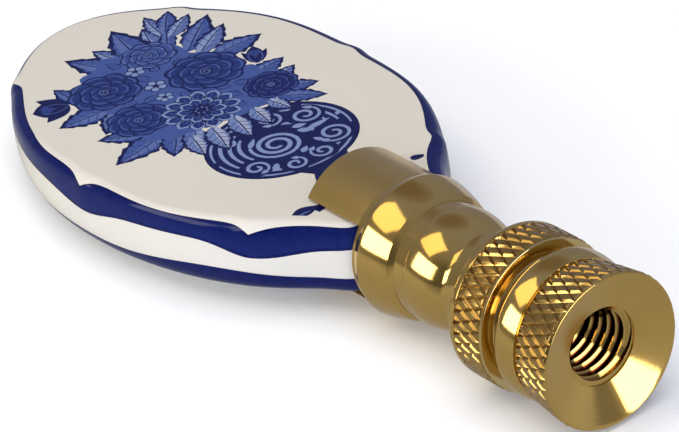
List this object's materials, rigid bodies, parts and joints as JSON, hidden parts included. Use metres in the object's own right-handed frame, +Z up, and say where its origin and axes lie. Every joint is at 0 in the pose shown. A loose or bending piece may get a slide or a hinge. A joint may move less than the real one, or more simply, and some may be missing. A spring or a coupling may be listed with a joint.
{
  "type": "lamp shade finial",
  "caption": "Lamp shade finial with a turned brass tapped base whose slotted end clasps an oval porcelain plaque with a scalloped edge.",
  "frame": {"origin": "centre of the bounding box's bottom, on the surface that the finial lies on with its painted face up", "axes": "+Y from the tapped knob towards the far end of the plaque, +X across the plaque, +Z up and out of the painted face"},
  "size_m": [0.029, 0.0724, 0.013],
  "materials": {
    "brass": "polished turned brass, knurled bands",
    "porcelain": "glossy glaze with a blue painted bouquet and rim"
  },
  "bodies": {
    "root": {"brass_base": "brass", "porcelain_plaque": "porcelain"}
  },
  "joints": []
}
